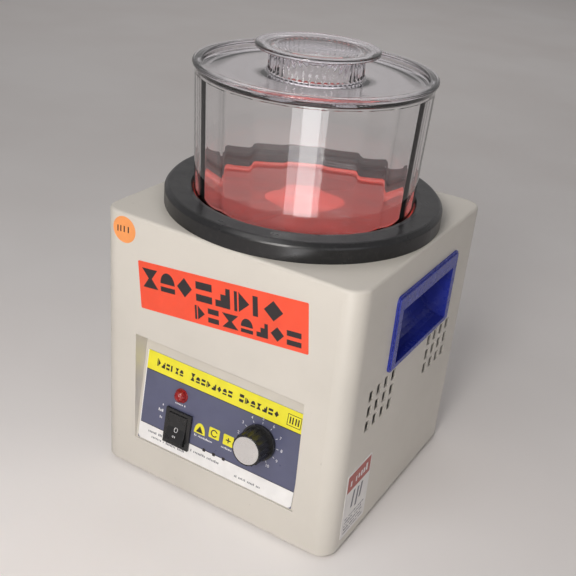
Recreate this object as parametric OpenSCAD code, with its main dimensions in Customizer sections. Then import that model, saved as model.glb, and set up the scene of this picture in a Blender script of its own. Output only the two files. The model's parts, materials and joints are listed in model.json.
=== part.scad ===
// Magnetic tumbler: a clear bowl of steel pins stands in a collar on top of a painted case,
// and a motor in the case spins a disc of magnets just under the bowl.
// Millimetres, +Z up, front towards -Y. The origin is the middle of the footprint, at the feet's soles.

/* [Case] */
// Width of the case, left to right
case_w = 226; // [222:1:300]
// Depth of the case, front to back
case_d = 222; // [222:1:290]
// Height of the case, without its feet
case_h = 232; // [215:1:300]
// Radius of the upright corners
corner_r = 15; // [14:1:20]
// Radius of the bend around the top
edge_r = 2.5; // [2:0.5:4]
// Thickness of the case's sheet steel
sheet = 1.5; // [1:0.1:2]

/* [Feet] */
// How far the feet lift the case
foot_h = 4; // [3:0.5:12]
// Radius of a foot
foot_r = 11; // [9:0.5:13]
// Middle of a foot from the case's sides
foot_inset = 30; // [28:1:40]

/* [Collar and floor] */
// Height of the collar
collar_h = 15; // [12:0.5:24]
// Width of the collar's band, from its bore to its rim
collar_band = 22.2; // [20:0.1:26]
// Thickness of the red floor under the bowl
floor_t = 3; // [2:0.5:5]
// How far the floor overlaps the case around the rotor's hole
floor_land = 10; // [8:0.5:10.5]

/* [Bowl and lid] */
// Radius of the bowl at its base
bowl_base_r = 87.6; // [72:0.1:89.8]
// How much wider the bowl is at its shoulder than at its base
bowl_flare = 3.4; // [0:0.1:5]
// Height of the bowl
bowl_h = 106; // [80:1:140]
// Thickness of the bowl's wall at the middle of a flat
bowl_wall = 2.8; // [2.4:0.1:4]
// Number of flats around the inside of the bowl
flats = 22; // [18:1:28]
// How far the bowl is turned in its collar
bowl_turn = 3.4; // [0:0.1:20]
// How far the lid's rim reaches past the bowl
lid_overhang = 1.8; // [0:0.1:4]
// Thickness of the lid's rim
lid_rim_t = 3.2; // [3:0.1:5]
// Radius of the grip on the lid
grip_r = 47.5; // [40:0.5:60]
// Radius of the ribbed neck under the grip
neck_r = 36; // [28:0.5:38]
// Height of the grip's face above the bowl's rim
grip_rise = 18; // [12:0.5:25]
// Number of ribs around the neck
ribs = 48; // [24:2:72]

/* [Control panel] */
// Width of the panel's window in the front
window_w = 157; // [152:1:175]
// Height of the panel's window
window_h = 100.5; // [97:0.5:120]
// Bottom of the window above the case's bottom
window_sill = 31; // [28:1:50]
// How far the panel leans back
panel_lean = 8.5; // [0:0.5:12]
// Width of the printed face sheet
face_w = 152; // [140:1:156]
// Height of the printed face sheet, along the panel
face_h = 81.5; // [78:0.5:92]
// Face sheet from the bottom of the window
face_up = 0.8; // [0.5:0.1:6]

/* [Switch, lamp and knob] */
// Width of the switch's bezel
switch_w = 25.5; // [25:0.1:30]
// Height of the switch's bezel
switch_h = 32; // [31:0.5:38]
// Middle of the switch, across
switch_x = -36.8; // [-50:0.1:-30]
// Middle of the switch, up the panel
switch_s = 24.6; // [22:0.1:30]
// Tilt of the rocker to either side
rocker_tilt = 8; // [4:0.5:9]
// Middle of the lamp, across
lamp_x = -37.8; // [-60:0.1:-20]
// Middle of the lamp, up the panel
lamp_s = 54.2; // [50:0.1:58]
// Radius of the lamp's flange
lamp_r = 6.2; // [6:0.1:8]
// Middle of the knob, across
knob_x = 39.5; // [20:0.1:55]
// Middle of the knob, up the panel
knob_s = 45; // [30:0.1:50]
// Radius of the knob over its flutes
knob_r = 13.2; // [12:0.1:18]
// Height of the knob
knob_h = 19; // [15:0.1:25]
// Number of flutes around the knob
flutes = 18; // [12:1:30]
// Radius of the knob's spindle
spindle_r = 3; // [2:0.1:4]

/* [Handles] */
// Length of a handle's flange, front to back
handle_w = 113.5; // [107:0.5:130]
// Height of a handle's flange
handle_tall = 65; // [62:0.5:70]
// Depth of the finger cup behind the side wall
cup_depth = 27; // [20:0.5:30]
// Length of the finger cup's mouth
mouth_w = 96; // [70:0.1:97]
// Middle of a handle below the top of the case
handle_drop = 58.5; // [45:0.5:65]
// Middle of a handle towards the back from the case's middle
handle_back = 7.2; // [-20:0.1:20]

/* [Vents] */
// Height of a vent slot
slot_h = 9.5; // [5:0.5:10]
// Width of a vent slot
slot_w = 6.8; // [3:0.1:7.5]
// Slots in a row of one group
slot_cols = 4; // [2:1:5]
// Rows of slots in one group
slot_rows = 3; // [2:1:3]
// Distance between slots along a row
slot_pitch = 12.65; // [10:0.05:13]
// Distance between rows
slot_step = 13.5; // [12:0.1:14]

/* [Rotor and motor] */
// Radius of the rotor disc
rotor_r = 82; // [70:1:84]
// Thickness of the rotor disc
rotor_t = 10; // [9:0.5:14]
// Gap between the rotor disc and the bowl's floor
rotor_gap = 2; // [1:0.5:5]
// Number of magnets, north and south in turn
magnets = 8; // [4:2:10]
// Radius of a magnet
magnet_r = 14; // [10:0.5:16]
// Radius of the motor shaft
shaft_r = 5; // [4:0.5:6]
// Radius of the motor
motor_r = 40; // [38:1:48]
// Length of the motor can
can_h = 90; // [85:1:100]

/* [Electrics] */
// Length of the control board
board_w = 110; // [100:1:118]
// Depth of the control board
board_d = 52; // [45:1:60]
// Middle of the mains inlet, to the right
inlet_x = 75; // [60:1:78]
// Middle of the mains inlet above the case's bottom
inlet_up = 45; // [35:1:60]
// Middle of the fuse holder, to the right
fuse_x = 37; // [36:1:44]

/* [Hidden] */
$fn = 64;

tiny = 0.01;
fit = 0.3;               // gap around a piece that drops into another
thread = 0.05;           // gap between a screw or shaft and its hole
run = 0.05;              // radial gap of a running fit
film = 0.3;              // thickness of a label
face_t = 0.4;            // thickness of the panel's face sheet

top_z = foot_h + case_h;
front_y = -case_d / 2;
back_y = case_d / 2;
side_x = case_w / 2;
lip = corner_r;          // the case's bottom lip reaches in as far as the corners' centres

// screws: shank radius, head radius, head height
m3 = [1.5, 2.9, 2];
m4 = [2, 3.6, 2.6];

hole_r = rotor_r + 6;    // hole in the case's top, around the rotor
floor_r = hole_r + floor_land;
bore_r = bowl_base_r + 1;
collar_r = max(bore_r, floor_r - 9.4) + collar_band;
collar_screw_r = (floor_r + collar_r) / 2;
collar_hole = 9;

// the bowl, measured up from the floor it stands on
bowl_z = top_z + floor_t;
half_flat = 180 / flats;
shoulder_r = bowl_base_r + bowl_flare;
flat_top_r = shoulder_r - bowl_wall;         // from the bowl's axis to the flats, at their tops
flat_base_r = bowl_base_r - bowl_wall;
mouth_r = flat_top_r / cos(half_flat);       // the mouth is round, and as wide as the flats' corners
rim_z = bowl_z + bowl_h;

// the lid, measured up from the bowl's rim
lid_wall = 2.4;
lid_r = shoulder_r + lid_overhang;
lid_sink = 2;            // the lid's floor lies this far under the bowl's rim
plug_r = mouth_r - fit;
mouth_depth = lid_sink + lid_wall + 1.1;     // the flats start this far under the rim

// the rotor and the motor hang under the top, from above down
post_r = 5;
post_at = (hole_r + post_r + 0.5) / sqrt(2);
rotor_z = top_z - rotor_gap - rotor_t;
hub_r = shaft_r + 11;
hub_h = 14;
plate_t = 3;
plate_z = rotor_z - hub_h - 8 - plate_t;
boss_r = shaft_r + 15;
cap_h = 12;
can_z = plate_z - cap_h - can_h;
can_wall = 3;
bearing_r = shaft_r + 10;
bearing_h = 9;
magnet_ring = rotor_r - magnet_r - 8;
armature_r = motor_r - 10.5;
rod_at = motor_r - 6;
fan_z = can_z - cap_h - 15;
motor_screw_at = boss_r + 8;

// the control panel
panel_y = front_y + sheet;
panel_z = foot_h + window_sill;
tray_t = 1.2;
tray_flange = 10;
panel_run = window_h * tan(panel_lean);      // how far back the panel's top is
tray_slab = tray_t / cos(panel_lean);
pivot_y = 2.5;           // rocker's pivot behind the panel
rocker_half = 11.9;
rocker_w = switch_w - 7.7;
knob_gap = 0.8;
cap_r = knob_r - 2;        // the knob's bright cap
bushing_r = spindle_r + 0.5;                 // threaded bushing around the knob's spindle
pot_nut_r = bushing_r + 2.8;

// handles and vents
handle_z = top_z - handle_drop;
flange_t = 2.5;
mouth_top = 19.5;
mouth_bottom = -27;
cup_wall = 2.2;
cup_top = mouth_top + 3.5 + cup_wall;
cup_bottom = mouth_bottom - cup_wall;
vent_gap = 8.2;
vent_top = handle_z - handle_tall / 2 - vent_gap;   // middle of the top row
vent_inner = 34;         // first column from the middle of the side

// electrics on the base
base_z = foot_h + sheet;
board_x = -30;
board_y = back_y - sheet - 8 - board_d / 2;
pillar_h = 8;
board_z = base_z + sheet + pillar_h;

// ---------- helpers ----------

// A flat plate with round corners, its middle at the origin and its underside at z = 0
module round_plate(w, d, r, h) {
    translate([-w / 2 + r, -d / 2, 0]) cube([w - 2 * r, d, h]);
    translate([-w / 2, -d / 2 + r, 0]) cube([w, d - 2 * r, h]);
    for (i = [0:3])
        rotate([0, 0, 90 * i])
            translate(i % 2 == 0 ? [w / 2 - r, d / 2 - r, 0] : [d / 2 - r, w / 2 - r, 0])
                rotate_extrude(angle = 90) square([r, h]);
}

// A screw that points up from z = 0, its head below, with a hex socket
module screw(m, len) {
    cylinder(r = m[0] - thread, h = len);
    difference() {
        translate([0, 0, -m[2]]) cylinder(r = m[1], h = m[2]);
        translate([0, 0, -m[2] - tiny]) cylinder(r = m[0] * 0.9, h = m[2] * 0.6, $fn = 6);
    }
}

module nut(m) {
    difference() {
        cylinder(r = m[0] * 2, h = m[0] * 1.6, $fn = 6);
        translate([0, 0, -tiny]) cylinder(r = m[0], h = m[0] * 1.6 + 2 * tiny);
    }
}

module ring(r_out, r_in, h) {
    difference() {
        cylinder(r = r_out, h = h);
        translate([0, 0, -tiny]) cylinder(r = r_in, h = h + 2 * tiny);
    }
}

module four(x, y) {
    for (sx = [-1, 1], sy = [-1, 1]) translate([sx * x, sy * y, 0]) children();
}

// Points of an arc in a profile
function arc(cx, cy, r, from, to, n = 6) =
    [for (i = [0:n]) let (a = from + (to - from) * i / n) [cx + r * cos(a), cy + r * sin(a)]];

// The panel's own frame: x across, z up the panel, -y out towards the user
module on_panel(x, s) {
    translate([0, panel_y, panel_z]) rotate([-panel_lean, 0, 0]) translate([x, 0, s]) children();
}
// A piece modelled along +Z that points out of the panel
module out_of_panel() { rotate([90, 0, 0]) children(); }

// The frame of a side wall: x to the back, y up, z out of the wall, for side 1 or -1
module on_side(side) {
    mirror([side < 0 ? 1 : 0, 0, 0])
        translate([side_x, handle_back, handle_z]) rotate([90, 0, 90]) children();
}

// ---------- case ----------

// Section of the wall, roof edge and bottom lip; x = corner_r is the outer face
function wall_section() = concat(
    [[0, 0], [corner_r, 0]],
    arc(corner_r - edge_r, case_h - edge_r, edge_r, 0, 90),
    [[0, case_h], [0, case_h - sheet]],
    arc(corner_r - edge_r, case_h - edge_r, edge_r - sheet, 90, 0, 4),
    [[corner_r - sheet, sheet], [0, sheet]]);

module wall_run(length) {
    rotate([90, 0, 0]) linear_extrude(height = length, center = true) polygon(wall_section());
}

module case_blank() {
    w = case_w - 2 * corner_r;
    d = case_d - 2 * corner_r;
    for (s = [0, 180]) {
        rotate([0, 0, s]) translate([w / 2, 0, 0]) wall_run(d);
        rotate([0, 0, s + 90]) translate([d / 2, 0, 0]) wall_run(w);
    }
    for (i = [0:3])
        rotate([0, 0, 90 * i])
            translate(i % 2 == 0 ? [w / 2, d / 2, 0] : [d / 2, w / 2, 0])
                rotate_extrude(angle = 90) polygon(wall_section());
    translate([-w / 2, -d / 2, case_h - sheet]) cube([w, d, sheet]);
}

module slot_outline() {
    r = 1.2;
    x = slot_w / 2 - r;
    y = slot_h / 2 - r;
    polygon(concat(arc(x, y, r, 0, 90, 3), arc(-x, y, r, 90, 180, 3),
        arc(-x, -y, r, 180, 270, 3), arc(x, -y, r, 270, 360, 3)));
}

// Both groups of vent slots of one side, in the side wall's frame
module vent_slots() {
    for (half = [-1, 1], c = [0:slot_cols - 1], r = [0:slot_rows - 1])
        translate([half * (vent_inner + c * slot_pitch) - handle_back,
                vent_top - handle_z - r * slot_step])
            slot_outline();
}

module base_screw_places() {
    for (s = [-60, 60]) {
        for (side = [-1, 1]) {
            translate([side * (side_x - lip / 2 - 0.5), s, 0]) children();
            translate([s, side * (back_y - lip / 2 - 0.5), 0]) children();
        }
    }
}

module collar_screw_places() {
    for (i = [0:5]) rotate([0, 0, 60 * i]) translate([collar_screw_r, 0, 0]) children();
}

module case_shell() {
    color([0.83, 0.81, 0.77]) difference() {
        translate([0, 0, foot_h]) case_blank();
        translate([0, 0, top_z - sheet - 1]) cylinder(r = hole_r, h = sheet + 2);
        translate([0, 0, top_z - sheet - 1])
            collar_screw_places() cylinder(r = m4[0], h = sheet + 2);
        translate([0, 0, foot_h - 1]) base_screw_places() cylinder(r = m3[0], h = sheet + 2);
        translate([-window_w / 2, front_y - 1, panel_z]) cube([window_w, sheet + 2, window_h]);
        for (side = [-1, 1]) on_side(side) {
            translate([-mouth_w / 2 - cup_wall - fit, cup_bottom - fit, -sheet - 1])
                cube([mouth_w + 2 * cup_wall + 2 * fit, cup_top - cup_bottom + 2 * fit, sheet + 2]);
            translate([0, 0, -sheet - 1]) linear_extrude(height = sheet + 2) vent_slots();
        }
        translate([inlet_x - 14, back_y - sheet - 1, foot_h + inlet_up - 10.5])
            cube([28, sheet + 2, 21]);
        for (s = [-20, 20]) translate([inlet_x + s, back_y + 1, foot_h + inlet_up])
            rotate([90, 0, 0]) cylinder(r = m3[0], h = sheet + 2);
        translate([fuse_x, back_y + 1, foot_h + inlet_up])
            rotate([90, 0, 0]) cylinder(r = 6.4, h = sheet + 2);
    }
}

module base_plate() {
    color([0.62, 0.62, 0.6]) translate([0, 0, base_z]) difference() {
        round_plate(case_w - 2 * sheet - 2 * fit, case_d - 2 * sheet - 2 * fit,
            corner_r - sheet - fit, sheet);
        translate([0, 0, -1]) base_screw_places() cylinder(r = m3[0], h = sheet + 2);
        translate([0, 0, -1]) four(side_x - foot_inset, back_y - foot_inset)
            cylinder(r = m4[0], h = sheet + 2);
        translate([board_x, board_y, -1]) four(board_w / 2 - 5, board_d / 2 - 5)
            cylinder(r = m3[0], h = sheet + 2);
    }
}

module base_screws() {
    color("silver") translate([0, 0, foot_h]) base_screw_places() screw(m3, 2 * sheet + 4);
}

module base_nuts() {
    color("silver") translate([0, 0, foot_h + 2 * sheet]) base_screw_places() nut(m3);
}

module rubber_feet() {
    color([0.1, 0.1, 0.1]) four(side_x - foot_inset, back_y - foot_inset) difference() {
        rotate_extrude() polygon([[0, 0], [foot_r - 1.5, 0], [foot_r, 1.5],
            [foot_r, base_z], [0, base_z]]);
        translate([0, 0, -tiny]) cylinder(r = m4[1] + 0.4, h = m4[2] + 0.4 + tiny);
        cylinder(r = m4[0], h = base_z + 1);
    }
}

module foot_screws() {
    color("silver") four(side_x - foot_inset, back_y - foot_inset) {
        translate([0, 0, m4[2] + 0.4]) screw(m4, base_z + sheet - m4[2] + 4.6);
        translate([0, 0, base_z + sheet]) nut(m4);
    }
}

// ---------- collar, floor, bowl, lid ----------

module collar_ring() {
    color([0.12, 0.12, 0.13]) translate([0, 0, top_z]) difference() {
        rotate_extrude($fn = 128) polygon(concat(
            [[floor_r + fit, 0], [collar_r, 0], [collar_r, collar_h - 4],
             [collar_r - 0.6, collar_h - 2.6], [collar_r - 2.6, collar_h - 0.3],
             [collar_r - 4, collar_h], [bore_r + 5, collar_h - 0.6], [bore_r + 1.5, collar_h - 1.4]],
            [[bore_r, collar_h - 3.4], [bore_r, floor_t], [floor_r + fit, floor_t]]));
        translate([0, 0, -1]) collar_screw_places() cylinder(r = m4[0], h = collar_hole + 1);
    }
}

module collar_screws() {
    color("silver") translate([0, 0, top_z - sheet]) collar_screw_places()
        screw(m4, sheet + collar_hole - 1);
}

module bowl_floor() {
    color([0.85, 0.25, 0.2]) translate([0, 0, top_z]) cylinder(r = floor_r, h = floor_t);
}

// The bowl's hollow: flat sides that stand on a round floor, and a round mouth above them
module bowl_hollow() {
    flats_h = bowl_h - mouth_depth;
    slant = atan((flat_top_r - flat_base_r) / flats_h);
    corner_base_r = flat_base_r / cos(half_flat);
    width = 2 * mouth_r * tan(half_flat) + 6;
    difference() {
        rotate_extrude($fn = 128) polygon(concat(
            [[0, bowl_wall + 2.2], [10, bowl_wall + 0.4], [corner_base_r - 9, bowl_wall + 0.4]],
            arc(corner_base_r - 9, bowl_wall + 9.4, 9, -90, 0), [[mouth_r, flats_h], [0, flats_h]]));
        for (i = [0:flats - 1]) rotate([0, 0, i * 360 / flats + bowl_turn])
            translate([flat_base_r, 0, 0]) rotate([0, slant, 0])
                translate([0, -width / 2, -5]) cube([12, width, bowl_h + 10]);
    }
    translate([0, 0, flats_h - tiny]) cylinder(r = mouth_r, h = mouth_depth + 1, $fn = 128);
}

module bowl() {
    color([0.85, 0.87, 0.9, 0.4]) translate([0, 0, bowl_z]) difference() {
        rotate_extrude($fn = 128) polygon(concat(
            [[0, 0], [bowl_base_r - 10, 0]],
            arc(bowl_base_r - 10, 10, 10, -90, 0),
            [[shoulder_r, bowl_h - 0.5], [shoulder_r - 0.5, bowl_h], [0, bowl_h]]));
        bowl_hollow();
    }
}

module rib_outline(r, depth, count) {
    polygon([for (i = [0:2 * count - 1]) let (q = r - (i % 2) * depth)
        [q * cos(i * 180 / count), q * sin(i * 180 / count)]]);
}

module lid() {
    z_in = -lid_sink - lid_wall;
    trough_r = plug_r - 3.2;
    color([0.85, 0.87, 0.9, 0.4]) translate([0, 0, rim_z]) {
        difference() {
            union() {
                rotate_extrude($fn = 128) polygon(concat(
                    [[neck_r - lid_wall, z_in], [plug_r - 1, z_in], [plug_r, z_in + 1], [plug_r, 0]],
                    arc(lid_r - 1.2, 1.2, 1.2, -90, 0, 4),
                    arc(lid_r - 1.8, lid_rim_t - 1.8, 1.8, 0, 90),
                    arc(trough_r + 1.2, lid_rim_t - 1.2, 1.2, 90, 180, 4),
                    [[trough_r, -lid_sink + 1.2], [trough_r - 1.2, -lid_sink],
                     [neck_r - lid_wall, -lid_sink]]));
                translate([0, 0, -lid_sink - tiny])
                    linear_extrude(height = grip_rise + lid_sink - 3 + tiny)
                        rib_outline(neck_r + 0.6, 1.1, ribs);
                translate([0, 0, grip_rise - 3]) rotate_extrude($fn = 96) polygon(
                    [[0, 0], [grip_r - 1, 0], [grip_r, 1], [grip_r, 2], [grip_r - 1, 3],
                     [grip_r - 7, 3], [grip_r - 10, 2.2], [0, 1.4]]);
            }
            translate([0, 0, z_in - 1])
                cylinder(r = neck_r - lid_wall, h = grip_rise - 3 - z_in + 1);
        }
    }
}

// ---------- rotor and motor ----------

module rotor_disc() {
    color([0.75, 0.76, 0.78]) translate([0, 0, rotor_z]) difference() {
        union() {
            cylinder(r = rotor_r, h = rotor_t, $fn = 96);
            translate([0, 0, -hub_h]) cylinder(r = hub_r, h = hub_h + tiny);
        }
        translate([0, 0, -hub_h - 1]) cylinder(r = shaft_r + 0.02, h = hub_h + rotor_t + 2);
        for (i = [0:magnets - 1]) rotate([0, 0, (i + 0.5) * 360 / magnets])
            translate([magnet_ring, 0, 2]) cylinder(r = magnet_r + thread, h = rotor_t);
        translate([0, 0, -hub_h / 2]) rotate([0, 90, 0]) cylinder(r = 3, h = hub_r + 1);
    }
}

module rotor_magnets() {
    color([0.55, 0.55, 0.57]) for (i = [0:magnets - 1])
        rotate([0, 0, (i + 0.5) * 360 / magnets])
            translate([magnet_ring, 0, rotor_z + 2]) cylinder(r = magnet_r, h = rotor_t - 2.2);
}

module rotor_grub_screw() {
    color("dimgray") translate([shaft_r + 0.02, 0, rotor_z - hub_h / 2]) rotate([0, 90, 0])
        difference() {
            cylinder(r = 3 - thread, h = hub_r - shaft_r - 1);
            translate([0, 0, hub_r - shaft_r - 4]) cylinder(r = 1.7, h = 4, $fn = 6);
        }
}

module motor_shaft() {
    color("silver") translate([0, 0, fan_z - 4])
        cylinder(r = shaft_r, h = rotor_z + rotor_t - 3 - fan_z + 4);
}

module armature_core() {
    color([0.45, 0.45, 0.48]) translate([0, 0, can_z + 25]) difference() {
        cylinder(r = armature_r, h = can_h - 34);
        translate([0, 0, -1]) cylinder(r = shaft_r + 0.02, h = can_h - 32);
        for (i = [0:11]) rotate([0, 0, 30 * i]) translate([armature_r - 5, 0, -1])
            cylinder(r = 3.2, h = can_h - 32);
    }
}

module armature_windings() {
    color([0.72, 0.4, 0.2]) for (z = [can_z + 18, can_z + can_h - 9])
        translate([0, 0, z]) ring(armature_r - 3, shaft_r + 4, 7);
}

module commutator() {
    color([0.72, 0.45, 0.25]) translate([0, 0, can_z + 2]) difference() {
        cylinder(r = 12, h = 15);
        translate([0, 0, -1]) cylinder(r = shaft_r + 0.02, h = 17);
        for (i = [0:11]) rotate([0, 0, 30 * i]) translate([11, -0.25, -1]) cube([2, 0.5, 17]);
    }
}

module cooling_fan() {
    color([0.15, 0.15, 0.16]) translate([0, 0, fan_z]) difference() {
        union() {
            cylinder(r = motor_r - 5, h = 1.5);
            cylinder(r = shaft_r + 4, h = 12);
            for (i = [0:8]) rotate([0, 0, 40 * i])
                translate([shaft_r + 2, -0.75, 0]) cube([motor_r - shaft_r - 8, 1.5, 10]);
        }
        translate([0, 0, -1]) cylinder(r = shaft_r + 0.02, h = 14);
    }
}

module motor_can() {
    color([0.3, 0.31, 0.33]) translate([0, 0, can_z]) ring(motor_r, motor_r - can_wall, can_h);
}

module tie_rod_places() {
    for (s = [-1, 1]) translate([0, s * rod_at, 0]) children();
}

module motor_front_cap() {
    color([0.7, 0.71, 0.72]) translate([0, 0, plate_z - cap_h]) difference() {
        union() {
            cylinder(r = motor_r, h = cap_h);
            cylinder(r = boss_r, h = cap_h + plate_t);
        }
        translate([0, 0, -1]) cylinder(r = bearing_r + 0.02, h = cap_h + 1);
        cylinder(r = shaft_r + 1.5, h = cap_h + plate_t + 1);
        translate([0, 0, -1]) tie_rod_places() cylinder(r = 2, h = 9);
        for (i = [0:3]) rotate([0, 0, 45 + 90 * i]) translate([motor_screw_at, 0, cap_h - 8])
            cylinder(r = m4[0], h = 9);
    }
}

module motor_rear_cap() {
    color([0.7, 0.71, 0.72]) translate([0, 0, can_z - cap_h]) difference() {
        cylinder(r = motor_r, h = cap_h);
        translate([0, 0, 3]) cylinder(r = bearing_r + 0.02, h = cap_h);
        translate([0, 0, -1]) cylinder(r = shaft_r + 1.5, h = 6);
        translate([0, 0, -1]) tie_rod_places() cylinder(r = 2, h = cap_h + 2);
        for (i = [0:3]) rotate([0, 0, 45 + 90 * i]) translate([motor_r - 11, 0, -1])
            cylinder(r = 5, h = cap_h + 2);
    }
}

module front_bearing() {
    color("silver") translate([0, 0, plate_z - bearing_h])
        ring(bearing_r, shaft_r + run, bearing_h);
}

module rear_bearing() {
    color("silver") translate([0, 0, can_z - cap_h + 3])
        ring(bearing_r, shaft_r + run, bearing_h);
}

module field_magnets() {
    color([0.25, 0.25, 0.27]) for (s = [-60, 120])
        translate([0, 0, can_z + 22]) rotate([0, 0, s]) rotate_extrude(angle = 120)
            translate([armature_r + 1.5, 0]) square([motor_r - can_wall - armature_r - 1.5, can_h - 30]);
}

module carbon_brushes() {
    color([0.2, 0.2, 0.2]) for (s = [0, 180]) rotate([0, 0, s])
        translate([12.1, -2.9, can_z + 5]) cube([12, 5.8, 8]);
}

module brush_holders() {
    color([0.75, 0.62, 0.3]) for (s = [0, 180]) rotate([0, 0, s]) difference() {
        translate([16, -4.5, can_z]) cube([16, 9, 15]);
        translate([15, -2.95, can_z + 4.95]) cube([12, 5.9, 8.1]);
    }
}

module motor_tie_rods() {
    color("silver") translate([0, 0, can_z - cap_h]) tie_rod_places()
        screw([2, 3.4, 2.4], cap_h + can_h + 7);
}

module motor_plate() {
    color([0.6, 0.6, 0.58]) translate([0, 0, plate_z]) difference() {
        round_plate(2 * post_at + 18, 2 * post_at + 18, 8, plate_t);
        translate([0, 0, -1]) cylinder(r = boss_r + thread, h = plate_t + 2);
        translate([0, 0, -1]) four(post_at, post_at) cylinder(r = m4[0], h = plate_t + 2);
        for (i = [0:3]) rotate([0, 0, 45 + 90 * i]) translate([motor_screw_at, 0, -1])
            cylinder(r = m4[0], h = plate_t + 2);
    }
}

module motor_posts() {
    color("silver") four(post_at, post_at) difference() {
        translate([0, 0, plate_z + plate_t])
            cylinder(r = post_r, h = top_z - sheet - plate_z - plate_t);
        translate([0, 0, plate_z + plate_t - 1]) cylinder(r = m4[0], h = 13);
    }
}

module plate_screws() {
    color("silver") translate([0, 0, plate_z]) four(post_at, post_at) screw(m4, plate_t + 10);
}

module motor_screws() {
    color("silver") for (i = [0:3]) rotate([0, 0, 45 + 90 * i])
        translate([motor_screw_at, 0, plate_z + plate_t]) mirror([0, 0, 1]) screw(m4, plate_t + 7);
}

// ---------- control panel ----------

module tray_stud_places() {
    for (sx = [-1, 1], z = [12, window_h - 12])
        translate([sx * (window_w / 2 + tray_flange / 2 + 0.8), panel_y, panel_z + z]) children();
}

module panel_tray() {
    color([0.8, 0.78, 0.74]) difference() {
        union() {
            translate([-window_w / 2 - tray_flange, panel_y, panel_z - tray_flange]) difference() {
                cube([window_w + 2 * tray_flange, tray_t, window_h + 2 * tray_flange]);
                translate([tray_flange, -1, tray_flange]) cube([window_w, tray_t + 2, window_h]);
            }
            translate([0, panel_y, panel_z]) rotate([90, 0, 90]) {
                linear_extrude(height = window_w, center = true)
                    polygon([[0, 0], [panel_run, window_h], [panel_run + tray_slab, window_h],
                        [tray_slab, 0]]);
                for (s = [-1, 1]) translate([0, 0, s * (window_w + tray_t) / 2])
                    linear_extrude(height = tray_t, center = true)
                        polygon([[0, 0], [0, window_h], [panel_run + tray_slab, window_h],
                            [tray_slab, 0]]);
            }
            translate([-window_w / 2 - tray_t, panel_y, panel_z + window_h])
                cube([window_w + 2 * tray_t, panel_run + tray_slab, tray_t]);
        }
        on_panel(switch_x, switch_s) translate([-switch_w / 2 + 2, -2, -switch_h / 2 + 2])
            cube([switch_w - 4, 5, switch_h - 4]);
        on_panel(lamp_x, lamp_s) translate([0, 3, 0]) out_of_panel() cylinder(r = 5, h = 5);
        on_panel(knob_x, knob_s) translate([0, 3, 0])
            out_of_panel() cylinder(r = bushing_r + 0.1, h = 5);
        tray_stud_places() translate([0, 5, 0]) rotate([90, 0, 0]) cylinder(r = m3[0], h = 8);
    }
}

module tray_nuts() {
    color("silver") tray_stud_places() rotate([-90, 0, 0]) {
        cylinder(r = m3[0] - thread, h = 6);
        translate([0, 0, tray_t]) nut(m3);
    }
}

module panel_face() {
    color([0.36, 0.37, 0.5]) difference() {
        on_panel(0, face_up) translate([-face_w / 2, -face_t, 0]) cube([face_w, face_t, face_h]);
        on_panel(switch_x, switch_s) translate([-switch_w / 2 + 2, -2, -switch_h / 2 + 2])
            cube([switch_w - 4, 5, switch_h - 4]);
        on_panel(lamp_x, lamp_s) translate([0, 3, 0]) out_of_panel() cylinder(r = 5, h = 5);
        on_panel(knob_x, knob_s) translate([0, 3, 0])
            out_of_panel() cylinder(r = bushing_r + 0.1, h = 5);
    }
}

module switch_housing() {
    bezel_t = 2.2;
    color([0.08, 0.08, 0.09]) on_panel(switch_x, switch_s) difference() {
        union() {
            translate([-switch_w / 2, -face_t - bezel_t, -switch_h / 2])
                cube([switch_w, bezel_t, switch_h]);
            translate([-switch_w / 2 + 2 + thread, -face_t, -switch_h / 2 + 2 + thread])
                cube([switch_w - 4 - 2 * thread, 22, switch_h - 4 - 2 * thread]);
        }
        translate([-rocker_w / 2 - 0.3, -10, -rocker_half - 1.4])
            cube([rocker_w + 0.6, 22, 2 * rocker_half + 2.8]);
        translate([-rocker_w / 2 - 1.7, pivot_y, 0]) rotate([0, 90, 0])
            cylinder(r = 1.4 + run, h = rocker_w + 3.4);
    }
}

module switch_rocker() {
    color([0.1, 0.1, 0.11]) on_panel(switch_x, switch_s)
        translate([0, pivot_y, 0]) rotate([-rocker_tilt, 0, 0]) {
            rotate([90, 0, 90]) linear_extrude(height = rocker_w, center = true)
                polygon([[-7.1, -rocker_half], [-5.6, 0], [-7.1, rocker_half], [-3.5, rocker_half],
                    [3, 7], [3, -7], [-3.5, -rocker_half]]);
            rotate([0, 90, 0]) cylinder(r = 1.4, h = rocker_w + 3, center = true);
        }
}

module switch_terminals() {
    color([0.78, 0.66, 0.35]) on_panel(switch_x, switch_s)
        for (x = [-5, 5], s = [-8, 0, 8])
            translate([x - 0.4, 22 - face_t, s - 2.4]) cube([0.8, 9, 4.8]);
}

module lamp_lens() {
    color([0.6, 0.05, 0.07]) on_panel(lamp_x, lamp_s) translate([0, -face_t, 0]) out_of_panel() {
        rotate_extrude() polygon(concat([[0, 0], [lamp_r, 0], [lamp_r, 0.8], [lamp_r - 0.4, 1.2],
            [lamp_r - 0.8, 1.2]], arc(0, 1.2, lamp_r - 0.8, 0, 90, 8)));
        translate([0, 0, -18]) cylinder(r = 5 - thread, h = 18 + tiny);
    }
}

module lamp_nut() {
    color([0.9, 0.9, 0.88]) on_panel(lamp_x, lamp_s) translate([0, tray_t + tiny + 2.5, 0])
        out_of_panel() difference() {
            cylinder(r = 8, h = 2.5, $fn = 6);
            translate([0, 0, -1]) cylinder(r = 5, h = 5);
        }
}

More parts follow.
